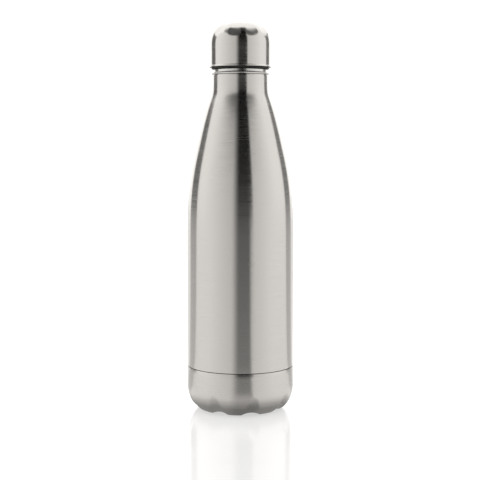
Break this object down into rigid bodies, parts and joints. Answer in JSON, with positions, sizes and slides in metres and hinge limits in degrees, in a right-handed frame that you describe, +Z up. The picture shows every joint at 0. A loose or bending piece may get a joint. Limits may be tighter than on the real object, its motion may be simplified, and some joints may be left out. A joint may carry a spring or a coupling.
{
  "type": "insulated water bottle",
  "caption": "Double-wall vacuum-insulated steel water bottle with a lobed base cup, a narrow neck and a screw stopper under a domed steel cap.",
  "frame": {"origin": "centre of the base, on the surface the bottle stands on", "axes": "+Z up along the bottle's axis, through the cap"},
  "size_m": [0.0714, 0.0714, 0.258],
  "materials": {
    "body_steel": "brushed round the axis, satin",
    "liner_steel": "electropolished, satin",
    "inner_steel": "plain mill finish",
    "copper": "bright copper foil",
    "black_plastic": "moulded, satin",
    "silicone": "matte black silicone",
    "foam": "closed-cell foam",
    "braze": "braze alloy, as melted",
    "getter": "pressed powder",
    "adhesive": "cured sealant"
  },
  "bodies": {
    "bottle": {"outer_shell": "body_steel", "inner_liner": "liner_steel", "liner_bottom": "liner_steel", "copper_foil": "copper", "vacuum_base": "inner_steel", "seal_bead": "braze", "getter_clip": "inner_steel", "getter_pellet": "getter", "base_cup": "body_steel", "base_bond_ring": "adhesive"},
    "cap_seals": {"mouth_gasket": "silicone", "plug_seal_ring": "silicone"},
    "cap": {"cap_shell": "body_steel", "plug_body": "black_plastic", "plug_foam": "foam", "plug_lid": "black_plastic", "cap_foam": "foam"}
  },
  "joints": [
    {"name": "cap_rise", "type": "slide", "parent": "bottle", "child": "cap_seals", "axis": [0, 0, 1], "range_m": [0, 0.0196]},
    {"name": "cap_turn", "type": "hinge", "parent": "cap_seals", "child": "cap", "pos_m": [0, 0, 0.228], "axis": [0, 0, 1], "range_deg": [0, 1170]}
  ],
  "couplings": [
    {"joint": "cap_rise", "follows": "cap_turn", "m_per_rad": 0.00095493}
  ]
}
